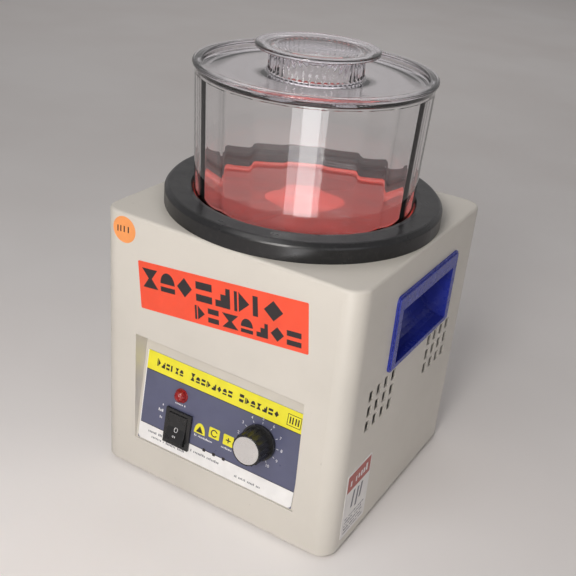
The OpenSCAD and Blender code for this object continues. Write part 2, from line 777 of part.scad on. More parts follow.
module knob_skirt() {
    color([0.07, 0.07, 0.08]) on_panel(knob_x, knob_s) translate([0, -face_t - knob_gap, 0])
        out_of_panel() difference() {
            union() {
                cylinder(r = knob_r + 1.6, h = 3);
                linear_extrude(height = knob_h - 0.8) rib_outline(knob_r, 1.2, flutes);
                cylinder(r = knob_r - 0.9, h = knob_h);
            }
            translate([0, 0, -1]) cylinder(r = 8, h = 7.5);
            translate([0, 0, 5]) cylinder(r = spindle_r + 0.02, h = 10.5);
            translate([0, 0, knob_h - 0.8]) cylinder(r = cap_r + thread, h = 2);
        }
}

module knob_cap() {
    color([0.82, 0.8, 0.8]) on_panel(knob_x, knob_s)
        translate([0, -face_t - knob_gap - knob_h + 0.8, 0])
            out_of_panel() cylinder(r = cap_r, h = 1.1);
}

module knob_spindle() {
    color("silver") on_panel(knob_x, knob_s) translate([0, 7, 0])
        out_of_panel() cylinder(r = spindle_r, h = 7 + face_t + knob_gap + 15);
}

module potentiometer() {
    color([0.3, 0.3, 0.32]) on_panel(knob_x, knob_s) {
        difference() {
            union() {
                translate([0, tray_t + 10, 0]) out_of_panel() cylinder(r = 12, h = 10 - tiny);
                translate([0, tray_t + 1, 0]) out_of_panel() cylinder(r = bushing_r, h = tray_t + 7);
            }
            translate([0, 8, 0]) out_of_panel() cylinder(r = spindle_r + run, h = 20);
        }
        for (x = [-5, 0, 5]) translate([x - 1, tray_t + 3, -18]) cube([2, 0.8, 7]);
    }
}

module pot_nut() {
    color("silver") on_panel(knob_x, knob_s) translate([0, -face_t, 0]) out_of_panel()
        difference() {
            cylinder(r = pot_nut_r, h = 2.2, $fn = 6);
            translate([0, 0, -1]) cylinder(r = bushing_r, h = 5);
        }
}

// ---------- handles ----------

// Section of the finger cup's hollow: x up, y out of the wall
function cup_section() = concat(
    [[mouth_bottom, flange_t + 1], [mouth_top, flange_t + 1], [mouth_top, -2.5],
     [mouth_top + 3.5, -6]],
    arc(mouth_top - 8.5, -cup_depth + cup_wall + 12, 12, 0, -90),
    arc(-3, -cup_depth + cup_wall + 24, 24, -90, -180, 8));

module handle() {
    color([0.16, 0.18, 0.6]) difference() {
        union() {
            round_plate(handle_w, handle_tall, 4.5, flange_t - 1);
            round_plate(handle_w - 3.6, handle_tall - 3.6, 2.7, flange_t);
            translate([-mouth_w / 2 - cup_wall, cup_bottom, -cup_depth])
                cube([mouth_w + 2 * cup_wall, cup_top - cup_bottom, cup_depth + tiny]);
        }
        rotate([90, 0, 90]) linear_extrude(height = mouth_w, center = true)
            polygon(cup_section());
    }
}

module handle_right() { on_side(1) handle(); }
module handle_left() { on_side(-1) handle(); }

// ---------- electrics ----------

module control_board() {
    color([0.1, 0.4, 0.2]) translate([board_x, board_y, board_z]) difference() {
        translate([-board_w / 2, -board_d / 2, 0]) cube([board_w, board_d, 1.6]);
        translate([0, 0, -1]) four(board_w / 2 - 5, board_d / 2 - 5) cylinder(r = m3[0], h = 4);
    }
}

module board_pillars() {
    color("silver") translate([board_x, board_y, base_z]) four(board_w / 2 - 5, board_d / 2 - 5) {
        cylinder(r = m3[0] - thread, h = sheet + tiny);
        translate([0, 0, sheet]) cylinder(r = 3, h = pillar_h);
        translate([0, 0, sheet + pillar_h]) cylinder(r = m3[0] - thread, h = 1.7);
        translate([0, 0, sheet + pillar_h + 1.6]) cylinder(r = 2.8, h = 2, $fn = 6);
    }
}

module board_parts() {
    z = board_z + 1.6;
    color([0.2, 0.25, 0.5]) {
        translate([board_x - 32, board_y + 8, z]) cylinder(r = 10, h = 26);
        translate([board_x - 44, board_y - 20, z]) cube([20, 15, 15]);
        translate([board_x - 18, board_y - 20, z]) cube([15, 12, 18]);
        translate([board_x + 30, board_y - 18, z]) cube([10, 34, 11]);
    }
}

module heat_sink() {
    color([0.6, 0.61, 0.63]) translate([board_x - 12, board_y - 2, board_z + 1.6]) {
        cube([36, 4, 26]);
        for (i = [0:5]) translate([i * 6.8, 4 - tiny, 0]) cube([2, 12, 26]);
    }
}

module mains_inlet() {
    color([0.1, 0.1, 0.11]) translate([inlet_x, back_y, foot_h + inlet_up]) difference() {
        union() {
            rotate([-90, 0, 0]) round_plate(50, 24, 4, 3);
            translate([-13.6, -15, -10]) cube([27.2, 15 + tiny, 20]);
        }
        translate([-12.1, -13, -8.2]) cube([24.2, 17, 16.4]);
        for (s = [-20, 20]) translate([s, 4, 0]) rotate([90, 0, 0]) cylinder(r = m3[0], h = 5);
        for (x = [-7, 0, 7]) translate([x - 1, -16, -2]) cube([2, 5, 4]);
    }
}

module inlet_pins() {
    color([0.8, 0.7, 0.4]) for (x = [-7, 0, 7])
        translate([inlet_x + x - 1, back_y - 24, foot_h + inlet_up - 2]) cube([2, 23, 4]);
}

module inlet_screws() {
    color("silver") for (s = [-20, 20]) translate([inlet_x + s, back_y, foot_h + inlet_up]) {
        translate([0, 3, 0]) rotate([90, 0, 0]) screw(m3, 9);
        translate([0, -sheet, 0]) rotate([90, 0, 0]) nut(m3);
    }
}

module fuse_holder() {
    color([0.09, 0.09, 0.1]) translate([fuse_x, back_y, foot_h + inlet_up])
        rotate([-90, 0, 0]) {
            cylinder(r = 9, h = 2);
            translate([0, 0, 2 - tiny]) cylinder(r = 7, h = 10.7 + tiny);
            translate([0, 0, -32]) cylinder(r = 6.3, h = 32 + tiny);
        }
}

// ---------- labels ----------

module front_label() {
    middle = (window_sill + window_h + case_h) / 2 + 3.4;
    color([0.97, 0.33, 0.22]) translate([0.2, front_y, foot_h + middle])
        rotate([90, 0, 0]) rotate([0, 0, 5.9]) round_plate(151, 40, 1, film);
}

module dot_label() {
    color([0.98, 0.63, 0.35]) translate([-side_x + 22.3, front_y, top_z - 13.4])
        rotate([90, 0, 0]) cylinder(r = 10.75, h = film);
}

module side_label() {
    color([0.9, 0.88, 0.87]) translate([side_x, front_y + 38.5, foot_h + 39])
        rotate([90, 0, 90]) round_plate(40.5, 62.5, 2, film);
}

case_shell();
base_plate();
base_screws();
base_nuts();
rubber_feet();
foot_screws();
collar_ring();
collar_screws();
bowl_floor();
bowl();
lid();
rotor_disc();
rotor_magnets();
rotor_grub_screw();
motor_shaft();
armature_core();
armature_windings();
commutator();
cooling_fan();
motor_can();
motor_front_cap();
motor_rear_cap();
front_bearing();
rear_bearing();
field_magnets();
carbon_brushes();
brush_holders();
motor_tie_rods();
motor_plate();
motor_posts();
plate_screws();
motor_screws();
panel_tray();
tray_nuts();
panel_face();
switch_housing();
switch_rocker();
switch_terminals();
lamp_lens();
lamp_nut();
knob_skirt();
knob_cap();
knob_spindle();
potentiometer();
pot_nut();
handle_right();
handle_left();
control_board();
board_pillars();
board_parts();
heat_sink();
mains_inlet();
inlet_pins();
inlet_screws();
fuse_holder();
front_label();
dot_label();
side_label();
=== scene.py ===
import json
import math
import random

import bmesh
import bpy
from mathutils import Matrix, Vector


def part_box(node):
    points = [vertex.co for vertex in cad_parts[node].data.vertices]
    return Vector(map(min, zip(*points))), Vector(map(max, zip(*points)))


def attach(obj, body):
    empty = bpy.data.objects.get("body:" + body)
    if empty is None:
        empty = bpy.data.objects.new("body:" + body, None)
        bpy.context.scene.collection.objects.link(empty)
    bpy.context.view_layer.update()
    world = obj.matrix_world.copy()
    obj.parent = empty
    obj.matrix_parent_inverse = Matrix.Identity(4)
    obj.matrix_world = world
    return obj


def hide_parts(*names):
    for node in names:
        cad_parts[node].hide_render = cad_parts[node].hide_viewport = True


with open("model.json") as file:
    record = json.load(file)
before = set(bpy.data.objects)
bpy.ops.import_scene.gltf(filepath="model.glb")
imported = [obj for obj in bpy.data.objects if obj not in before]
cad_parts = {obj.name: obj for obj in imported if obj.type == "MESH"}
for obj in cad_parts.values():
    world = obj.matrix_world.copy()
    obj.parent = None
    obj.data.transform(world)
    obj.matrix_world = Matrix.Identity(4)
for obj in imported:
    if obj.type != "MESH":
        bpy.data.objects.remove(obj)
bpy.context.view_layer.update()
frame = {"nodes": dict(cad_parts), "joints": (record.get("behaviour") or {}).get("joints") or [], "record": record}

nodes = frame["nodes"]
joints = {j["name"]: j for j in frame["joints"]}
scene = bpy.context.scene
MM = 0.001
X, Y, Z = Vector((1, 0, 0)), Vector((0, 1, 0)), Vector((0, 0, 1))


# ---------------------------------------------------------------- materials

class Mat:
    """A Principled material with procedural detail, sized in metres."""

    def __init__(self, name, color, rough=0.5, metal=0.0, **sockets):
        self.m = bpy.data.materials.new(name)
        self.m.use_nodes = True
        self.t = self.m.node_tree
        self.b = self.t.nodes["Principled BSDF"]
        self.b.inputs["Base Color"].default_value = (*color, 1)
        self.b.inputs["Roughness"].default_value = rough
        self.b.inputs["Metallic"].default_value = metal
        for k, v in sockets.items():
            self.b.inputs[k.replace("_", " ")].default_value = v
        self.m.diffuse_color = (*color, 1)
        self.normal = None

    def add(self, kind, **props):
        n = self.t.nodes.new(kind)
        for k, v in props.items():
            setattr(n, k, v)
        return n

    def link(self, a, b):
        self.t.links.new(a, b)

    def place(self, stretch=(1, 1, 1)):
        c = self.add("ShaderNodeTexCoord")
        m = self.add("ShaderNodeMapping")
        m.inputs["Scale"].default_value = stretch
        self.link(c.outputs["Object"], m.inputs["Vector"])
        return m.outputs["Vector"]

    def noise(self, scale, detail=3.0, rough=0.5, at=None):
        n = self.add("ShaderNodeTexNoise")
        n.inputs["Scale"].default_value = scale
        n.inputs["Detail"].default_value = detail
        n.inputs["Roughness"].default_value = rough
        self.link(at or self.place(), n.inputs["Vector"])
        return n.outputs["Fac"]

    def ramp(self, fac, stops):
        r = self.add("ShaderNodeValToRGB")
        e = r.color_ramp.elements
        while len(e) < len(stops):
            e.new(0.5)
        for k, (p, c) in zip(e, stops):
            k.position = p
            k.color = (*c, 1)
        self.link(fac, r.inputs["Fac"])
        return r.outputs["Color"]

    def band(self, fac, lo, hi, a=0.0, b=1.0):
        r = self.add("ShaderNodeMapRange")
        for k, v in (("From Min", lo), ("From Max", hi), ("To Min", a), ("To Max", b)):
            r.inputs[k].default_value = v
        self.link(fac, r.inputs["Value"])
        return r.outputs["Result"]

    def math(self, op, a, b=None):
        n = self.add("ShaderNodeMath", operation=op)
        for i, v in enumerate((a, b)):
            if v is None:
                continue
            if isinstance(v, (int, float)):
                n.inputs[i].default_value = v
            else:
                self.link(v, n.inputs[i])
        return n.outputs[0]

    def mix(self, fac, a, b):
        n = self.add("ShaderNodeMix", data_type="RGBA")
        for socket, v in ((n.inputs["Factor"], fac), (n.inputs[6], a), (n.inputs[7], b)):
            if isinstance(v, tuple):
                socket.default_value = (*v, 1)
            else:
                self.link(v, socket)
        return n.outputs[2]

    def color(self, socket):
        self.link(socket, self.b.inputs["Base Color"])
        return self

    def rough(self, socket):
        self.link(socket, self.b.inputs["Roughness"])
        return self

    def edge(self, radius):
        """Rounds the look of hard edges to a real radius."""
        n = self.add("ShaderNodeBevel", samples=4)
        n.inputs["Radius"].default_value = radius
        self.normal = n.outputs["Normal"]
        return self

    def bump(self, height, depth, strength=1.0):
        n = self.add("ShaderNodeBump")
        n.inputs["Distance"].default_value = depth
        n.inputs["Strength"].default_value = strength
        self.link(height, n.inputs["Height"])
        if self.normal is not None:
            self.link(self.normal, n.inputs["Normal"])
        self.normal = n.outputs["Normal"]
        return self

    def done(self):
        if self.normal is not None:
            self.link(self.normal, self.b.inputs["Normal"])
        return self.m


def mul(c, k):
    return tuple(min(1.0, v * k) for v in c)


def make_paint():
    c = (0.66, 0.625, 0.565)
    m = Mat("case_paint", c, 0.42)
    cloud = m.noise(9, 4, 0.55)
    fine = m.noise(420, 2, 0.5)
    tone = m.ramp(cloud, [(0.3, mul(c, 0.95)), (0.5, c), (0.72, mul(c, 1.03))])
    speck = m.band(m.noise(160, 2, 0.6), 0.72, 0.80)
    m.color(m.mix(speck, tone, mul(c, 0.86)))
    m.rough(m.band(m.noise(28, 5, 0.6), 0.25, 0.75, 0.34, 0.50))
    m.edge(0.0006)
    m.bump(fine, 0.000045, 0.8)
    return m.done()


def make_plastic(name, c, lo, hi, grain=700, depth=0.00002, edge=0.0004, dust=0.0):
    m = Mat(name, c, (lo + hi) / 2)
    tone = m.ramp(m.noise(34, 4, 0.6), [(0.3, mul(c, 0.88)), (0.7, mul(c, 1.10))])
    if dust:
        d = m.band(m.noise(260, 4, 0.7), 0.52, 0.85, 0.0, dust)
        tone = m.mix(d, tone, (0.34, 0.32, 0.30))
    m.color(tone)
    m.rough(m.band(m.noise(60, 5, 0.65), 0.25, 0.75, lo, hi))
    m.edge(edge)
    m.bump(m.noise(grain, 2, 0.5), depth)
    return m.done()


def make_metal(name, c, lo, hi, stretch=(1, 1, 1), scale=500, depth=0.00002, edge=0.0003):
    m = Mat(name, c, (lo + hi) / 2, 1.0)
    at = m.place(stretch)
    streak = m.noise(scale, 3, 0.6, at)
    m.color(m.ramp(m.noise(45, 3, 0.6), [(0.3, mul(c, 0.9)), (0.7, mul(c, 1.06))]))
    m.rough(m.band(streak, 0.25, 0.75, lo, hi))
    m.edge(edge)
    m.bump(streak, depth)
    return m.done()


def make_clear(name, tint, wave):
    """Clear plastic: faint rub marks, and a slow waviness left by the mould."""
    m = Mat(name, tint, 0.0, IOR=1.49, Transmission_Weight=1.0)
    rubs = m.noise(60, 5, 0.7, m.place((4, 4, 0.5)))
    m.rough(m.band(rubs, 0.58, 0.80, 0.0, 0.035))
    m.bump(m.noise(18, 1, 0.4), wave, 0.35)
    return m.done()


def make_print(name, c, rough=0.45, wear=0.0, under=(0.85, 0.84, 0.82)):
    m = Mat(name, c, rough)
    tone = m.ramp(m.noise(55, 4, 0.6), [(0.3, mul(c, 0.93)), (0.7, mul(c, 1.05))])
    if wear:
        tone = m.mix(m.band(m.noise(380, 5, 0.7), 0.66, 0.78, 0.0, wear), tone, under)
    m.color(tone)
    m.rough(m.band(m.noise(120, 4, 0.6), 0.25, 0.75, rough - 0.08, rough + 0.10))
    m.bump(m.noise(900, 2, 0.5), 0.000008)
    return m.done()


RING_PITCH = 0.00045     # between the turning marks on the knob's cap


def make_turned():
    """Spun aluminium: fine rings round the knob's own axis."""
    j = joints["knob_turn"]
    axis, pos = Vector(j["axis"]), Vector(j["pos_m"])
    m = Mat("turned_aluminium", (0.74, 0.73, 0.73), 0.28, 1.0)
    geo = m.add("ShaderNodeTexCoord")
    sub = m.add("ShaderNodeVectorMath", operation="SUBTRACT")
    sub.inputs[1].default_value = pos
    m.link(geo.outputs["Object"], sub.inputs[0])
    cross = m.add("ShaderNodeVectorMath", operation="CROSS_PRODUCT")
    cross.inputs[1].default_value = axis
    m.link(sub.outputs[0], cross.inputs[0])
    length = m.add("ShaderNodeVectorMath", operation="LENGTH")
    m.link(cross.outputs[0], length.inputs[0])
    radius = length.outputs["Value"]
    rings = m.math("SINE", m.math("MULTIPLY", radius, 2 * math.pi / RING_PITCH))
    n = m.noise(3000, 2, 0.5)
    m.rough(m.band(n, 0.3, 0.7, 0.20, 0.34))
    m.color(m.ramp(m.band(rings, -1, 1), [(0, (0.66, 0.65, 0.65)), (1, (0.82, 0.81, 0.80))]))
    m.edge(0.0003)
    m.bump(rings, 0.000012)
    m.b.inputs["Anisotropic"].default_value = 0.6
    return m.done()


def make_board():
    m = Mat("board_green", (0.03, 0.16, 0.07), 0.4)
    lines = m.add("ShaderNodeTexBrick")
    lines.inputs["Scale"].default_value = 1
    lines.inputs["Brick Width"].default_value = 0.012
    lines.inputs["Row Height"].default_value = 0.0035
    lines.inputs["Mortar Size"].default_value = 0.0003
    lines.inputs["Color1"].default_value = (0.03, 0.17, 0.07, 1)
    lines.inputs["Color2"].default_value = (0.04, 0.21, 0.09, 1)
    lines.inputs["Mortar"].default_value = (0.10, 0.30, 0.12, 1)
    m.link(m.place(), lines.inputs["Vector"])
    m.color(lines.outputs["Color"])
    m.rough(m.band(m.noise(90), 0.3, 0.7, 0.3, 0.5))
    return m.done()


def make_lamp():
    """Red lens with small moulded cells."""
    m = Mat("lamp_red", (0.42, 0.012, 0.016), 0.12, IOR=1.5, Transmission_Weight=0.25)
    m.color(m.ramp(m.noise(900, 2), [(0.3, (0.30, 0.008, 0.012)), (0.7, (0.52, 0.02, 0.02))]))
    cells = m.add("ShaderNodeTexVoronoi")
    cells.inputs["Scale"].default_value = 620
    m.link(m.place(), cells.inputs["Vector"])
    m.bump(cells.outputs["Distance"], 0.0005)
    return m.done()


paint = make_paint()
zinc = make_metal("zinc_steel", (0.62, 0.63, 0.62), 0.28, 0.5, scale=300)
ground = make_metal("ground_steel", (0.68, 0.69, 0.70), 0.14, 0.3, (1, 1, 8), 300)
cast = make_metal("cast_aluminium", (0.60, 0.61, 0.62), 0.35, 0.6, scale=600, depth=0.00006)
nickel = make_metal("magnet_nickel", (0.63, 0.60, 0.54), 0.1, 0.22, scale=200)
iron = make_metal("iron_core", (0.22, 0.22, 0.23), 0.4, 0.65, (1, 1, 14), 300, 0.00008)
copper = make_metal("copper", (0.72, 0.32, 0.14), 0.25, 0.45, (1, 1, 5), 700, 0.00008)
brass = make_metal("brass", (0.74, 0.58, 0.26), 0.18, 0.34)
turned = make_turned()
rubber = make_plastic("foot_rubber", (0.02, 0.02, 0.02), 0.6, 0.85, 500, 0.00005, dust=0.15)
collar = make_plastic("collar_black", (0.007, 0.007, 0.008), 0.24, 0.40, 520, 0.00004, 0.0008, dust=0.06)
red = make_plastic("floor_red", (0.72, 0.060, 0.038), 0.25, 0.42, 300, 0.00003)
black = make_plastic("switch_black", (0.013, 0.013, 0.014), 0.22, 0.36, 900, 0.00001, 0.0005)
knob_black = make_plastic("knob_black", (0.012, 0.012, 0.013), 0.16, 0.30, 900, 0.00001, 0.0005)
fan_black = make_plastic("fan_plastic", (0.02, 0.02, 0.022), 0.45, 0.65)
motor_black = make_plastic("motor_paint", (0.03, 0.032, 0.035), 0.4, 0.55, 300, 0.00008)
carbon = make_plastic("carbon", (0.02, 0.02, 0.02), 0.55, 0.7)
blue = make_plastic("handle_blue", (0.026, 0.040, 0.33), 0.20, 0.34, 800, 0.00002, 0.0006)
inlet_black = make_plastic("inlet_black", (0.016, 0.016, 0.017), 0.4, 0.6, 900, 0.00003, 0.0004)
nut_white = make_plastic("nut_plastic", (0.75, 0.75, 0.72), 0.4, 0.55)
parts_blue = make_plastic("parts_blue", (0.03, 0.05, 0.16), 0.25, 0.4)
board = make_board()
clear = make_clear("clear_bowl", (0.985, 0.98, 0.985), 0.00006)
clear_lid = make_clear("clear_lid", (0.955, 0.93, 0.965), 0.00008)
lamp_red = make_lamp()

ink_orange = make_print("label_orange", (0.92, 0.085, 0.033), 0.42)
ink_amber = make_print("label_amber", (0.96, 0.36, 0.11), 0.5)
ink_white = make_print("label_white", (0.80, 0.78, 0.77), 0.38, 0.25, (0.45, 0.42, 0.40))
ink_field = make_print("panel_print", (0.105, 0.112, 0.19), 0.34)
ink_yellow = make_print("print_yellow", (0.88, 0.80, 0.035), 0.36)
ink_dark = make_print("print_dark", (0.018, 0.014, 0.016), 0.42)
ink_strip = make_print("print_strip", (0.88, 0.87, 0.86), 0.35)
ink_grey = make_print("print_grey", (0.20, 0.20, 0.22), 0.45)
ink_red = make_print("print_red", (0.42, 0.10, 0.085), 0.42, 0.3)
ink_light = make_print("print_light", (0.80, 0.80, 0.82), 0.4)

SLOTS = {
    "case_paint": paint, "zinc_steel": zinc, "foot_rubber": rubber, "collar_black": collar,
    "floor_red": red, "clear_plastic": clear, "cast_aluminium": cast, "magnet_nickel": nickel,
    "ground_steel": ground, "iron_core": iron, "copper": copper, "fan_plastic": fan_black,
    "motor_paint": motor_black, "carbon": carbon, "brass_parts": brass, "panel_print": ink_field,
    "switch_black": black, "lamp_red": lamp_red, "nut_plastic": nut_white, "knob_black": knob_black,
    "knob_metal": turned, "pot_metal": zinc, "handle_blue": blue, "board_green": board,
    "parts_blue": parts_blue, "inlet_black": inlet_black, "label_orange": ink_orange,
    "label_amber": ink_amber, "label_white": ink_white,
}


def dress(node, material):
    for s in nodes[node].material_slots:
        s.material = material


for part in frame["record"]["subparts"]:
    dress(part["node"], SLOTS[part["material_slot"]])
dress("lid", clear_lid)


# ---------------------------------------------------------------- pieces

def mesh_piece(name, verts, faces, material, body, smooth=False):
    me = bpy.data.meshes.new(name)
    me.from_pydata([tuple(v) for v in verts], [], faces)
    me.validate()
    bm = bmesh.new()
    bm.from_mesh(me)
    bmesh.ops.recalc_face_normals(bm, faces=bm.faces)
    bm.to_mesh(me)
    bm.free()
    for p in me.polygons:
        p.use_smooth = smooth
    ob = bpy.data.objects.new(name, me)
    scene.collection.objects.link(ob)
    me.materials.append(material)
    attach(ob, body)
    return ob


class Sheet:
    """A flat place on the object: prints are laid on it as thin films of ink."""

    def __init__(self, origin, u, v, n, body, slot):
        self.o, self.u, self.v, self.n = Vector(origin), Vector(u), Vector(v), Vector(n)
        self.body, self.slot = body, slot

    def at(self, x, y, h=0.0):
        return self.o + (self.u * x + self.v * y + self.n * h) * MM

    def film(self, name, outlines, material, lift=0.0, thick=0.05):
        verts, faces = [], []
        for pts in outlines:
            k, n = len(verts), len(pts)
            verts += [self.at(x, y, lift) for x, y in pts]
            verts += [self.at(x, y, lift + thick) for x, y in pts]
            faces.append([k + i for i in reversed(range(n))])
            faces.append([k + n + i for i in range(n)])
            faces += [[k + i, k + (i + 1) % n, k + n + (i + 1) % n, k + n + i] for i in range(n)]
        return mesh_piece(name, verts, faces, material, self.body)


def arc(cx, cy, r, a0, a1, n, ry=None):
    """Points from angle a0 to a1 in degrees; ry is the upright radius where it isn't r."""
    turns = [math.radians(a0 + (a1 - a0) * i / n) for i in range(n + 1)]
    return [(cx + r * math.cos(a), cy + (ry or r) * math.sin(a)) for a in turns]


def rect(x0, x1, y0, y1, r=0.0, corners=(1, 1, 1, 1), steps=5):
    """Rounded rectangle; corners: lower left, lower right, upper right, upper left."""
    if r <= 0:
        return [(x0, y0), (x1, y0), (x1, y1), (x0, y1)]
    centres = ((x0 + r, y0 + r), (x1 - r, y0 + r), (x1 - r, y1 - r), (x0 + r, y1 - r))
    points = ((x0, y0), (x1, y0), (x1, y1), (x0, y1))
    pts = []
    for k, ((cx, cy), point) in enumerate(zip(centres, points)):
        start = 180 + 90 * k
        pts += arc(cx, cy, r, start, start + 90, steps) if corners[k] else [point]
    return pts


def strokes(x0, x1, y0, y1, count, width, r=0.3):
    """Upright bars that stand in for one block of print."""
    step = (x1 - x0 - width) / (count - 1)
    return [rect(x0 + i * step, x0 + i * step + width, y0, y1, r) for i in range(count)]


def word(x0, x1, y0, y1, seed, pitch=1.6, fill=0.62, r=0.0):
    """A line of small print, as a run of short bars with no meaning."""
    rng = random.Random(seed)
    out, x = [], x0
    while x < x1 - pitch * 0.5:
        w = pitch * fill * rng.uniform(0.7, 1.2)
        if rng.random() > 0.14:
            lo = y0 + (y1 - y0) * rng.choice((0, 0, 0, 0.12))
            hi = y1 - (y1 - y0) * rng.choice((0, 0.28, 0.28, 0.28))
            out.append(rect(x, min(x + w, x1), lo, hi, r))
        x += pitch
    return out


def surface(name, rows, material, body, angle):
    """A closed skin through rows of points, each a full turn; the end rows close on their middles."""
    n = len(rows[0])
    verts = [p for row in rows for p in row]
    faces = []
    for i in range(len(rows) - 1):
        for j in range(n):
            k = (j + 1) % n
            faces.append([i * n + j, i * n + k, (i + 1) * n + k, (i + 1) * n + j])
    for row, turn in ((0, 1), (len(rows) - 1, -1)):
        ring = rows[row]
        verts.append(sum((Vector(p) for p in ring), Vector()) / n)
        c = len(verts) - 1
        for j in range(n):
            k = (j + 1) % n
            faces.append([c, row * n + k, row * n + j] if turn > 0 else [c, row * n + j, row * n + k])
    ob = mesh_piece(name, verts, faces, material, body, smooth=True)
    ob.data.set_sharp_from_angle(angle=math.radians(angle))
    return ob


# ---- bowl: round outside, with flats moulded round its inside; heights are from its base
lo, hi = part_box("bowl")
BOWL_Z, BOWL_H = lo.z, (hi.z - lo.z) / MM
R_TOP = hi.x / MM
R_BASE = R_TOP - 3.4
FLATS, FLAT_POINTS = 22, 12             # how many flats, and mesh points across each
BOWL_TURN = math.radians(3.4)
SOFT = math.radians(0.45)               # half the width of the worn edge between two flats
WALL = 2.8
MOUTH_DEPTH = 5.5                       # the round band above the flats, where the lid sits
FOOT_R, INNER_FOOT_R = 10, 9            # rounding outside and inside at the base
LIP = 0.5                               # rounding of the top edge
CROWN = 0.4                             # rise of the floor inside
half = math.pi / FLATS
flat_base, flat_top = R_BASE - WALL, R_TOP - WALL
mouth = flat_top / math.cos(half)
flats_h = BOWL_H - MOUTH_DEPTH


def outside(z):
    if z < FOOT_R:
        return R_BASE - FOOT_R + math.sqrt(max(0.0, FOOT_R ** 2 - (FOOT_R - z) ** 2))
    return R_BASE + (R_TOP - R_BASE) * (z - FOOT_R) / (BOWL_H - FOOT_R - LIP)


def flat_at(z):
    return flat_base + (flat_top - flat_base) * z / flats_h


def bowl_row(z, r, flat=None):
    """A ring of points; with flat given, the ring is cut by the flats at that distance."""
    row = []
    for i in range(FLATS):
        for k in range(FLAT_POINTS):
            off = -half + SOFT + 2 * (half - SOFT) * k / (FLAT_POINTS - 1)
            a = off + BOWL_TURN + 2 * half * i
            q = r if flat is None else min(r, flat / math.cos(off))
            row.append(Vector((q * math.cos(a) * MM, q * math.sin(a) * MM, BOWL_Z + z * MM)))
    return row


wall_h = BOWL_H - FOOT_R - LIP
foot_z = WALL + CROWN + INNER_FOOT_R
rows = [bowl_row(0, r) for r in (30, 60, R_BASE - FOOT_R)]
rows += [bowl_row(z, outside(z)) for _, z in arc(0, FOOT_R, FOOT_R, -82, 0, 12)]
rows += [bowl_row(z, outside(z)) for z in (FOOT_R + wall_h * i / 8 for i in range(1, 9))]
rows.append(bowl_row(BOWL_H, R_TOP - LIP))
rows += [bowl_row(BOWL_H, mouth + 0.3), bowl_row(BOWL_H - 0.3, mouth)]
rows += [bowl_row(flats_h + 0.25, mouth), bowl_row(flats_h, mouth, flat_at(flats_h) + 0.25)]
rows += [bowl_row(z, mouth, flat_at(z)) for z in (flats_h - 0.6, 80, 60, 40, 20, foot_z)]
inner_corner = flat_base / math.cos(half) - INNER_FOOT_R
for r, z in arc(inner_corner, foot_z, INNER_FOOT_R, 0, -90, 12)[1:]:
    rows.append(bowl_row(z, r, flat_at(z)))
rows += [bowl_row(WALL + h, r) for r, h in ((60, CROWN), (35, CROWN), (12, CROWN), (10, 0.5), (4, 1.5))]
bowl = surface("bowl_clear", rows, clear, "bowl", 30)
bowl.modifiers.new("flat shading", "WEIGHTED_NORMAL").keep_sharp = True
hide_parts("bowl")
bowl.visible_shadow = False

# ---- lid: one moulding, with ribs round its neck; heights are from the bowl's rim
lo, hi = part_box("lid")
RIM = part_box("bowl")[1].z
RISE = (hi.z - RIM) / MM                # top of the grip
EDGE = hi.x / MM
NECK, LID_WALL = 36.0, 2.4
RIBS, RIB_DEPTH, RIB_POINTS = 48, 1.1, 6
SINK = 2.0                              # the lid's floor below the rim
RIM_T = 3.2
PLUG = mouth - 0.3
TROUGH = PLUG - 3.2
GRIP, GRIP_T = 47.4, 3.0


def lid_row(r, z, ribbed=0.0):
    row = []
    count = RIBS * RIB_POINTS
    for j in range(count):
        a = 2 * math.pi * j / count
        q = r - ribbed * (0.5 - 0.5 * math.cos(RIBS * a)) ** 1.6
        row.append(Vector((q * math.cos(a) * MM, q * math.sin(a) * MM, RIM + z * MM)))
    return row


under = -SINK - LID_WALL
grip_under, bore = RISE - GRIP_T, NECK - LID_WALL
outline = [(6, grip_under), (bore - 2, grip_under), (bore, grip_under - 2), (bore, under + 0.5)]
outline += [(bore + 0.5, under), (50, under), (66, under), (PLUG - 1, under), (PLUG, under + 1)]
outline += [(PLUG, -0.3), (PLUG + 0.3, 0)]
outline += arc(EDGE - 1.2, 1.2, 1.2, -90, 0, 6) + arc(EDGE - 1.8, RIM_T - 1.8, 1.8, 0, 90, 8)[1:]
outline += arc(TROUGH + 1.2, RIM_T - 1.2, 1.2, 90, 180, 6)
outline += [(TROUGH, -SINK + 1.2), (TROUGH - 0.4, -SINK + 0.4), (TROUGH - 1.2, -SINK)]
outline += [(66, -SINK), (50, -SINK), (NECK + 2.2, -SINK)]
rows = [lid_row(r, z) for r, z in outline]
rows.append(lid_row(NECK + 1.0, -SINK + 0.4))
rows += [lid_row(NECK + 0.6, z, RIB_DEPTH) for z in (-SINK + 1.2, 6, grip_under - 1.2)]
rows += [lid_row(NECK + 1.2, grip_under - 0.2), lid_row(NECK + 2.2, grip_under)]
side_r = GRIP - 1.2
top = [(side_r, grip_under)] + arc(side_r, grip_under + 1.2, 1.2, -90, 0, 5)[1:]
top += arc(side_r, RISE - 1.2, 1.2, 0, 90, 5)
top += [(GRIP - back_in, RISE - down) for back_in, down in ((6.5, 0), (7.6, 0.2), (9.5, 0.9), (10.6, 1.1))]
top += [(24, RISE - 1.5), (8, RISE - 1.6)]
rows += [lid_row(r, z) for r, z in top]
lid = surface("lid_clear", rows, clear_lid, "lid", 32)
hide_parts("lid")
lid.visible_shadow = False

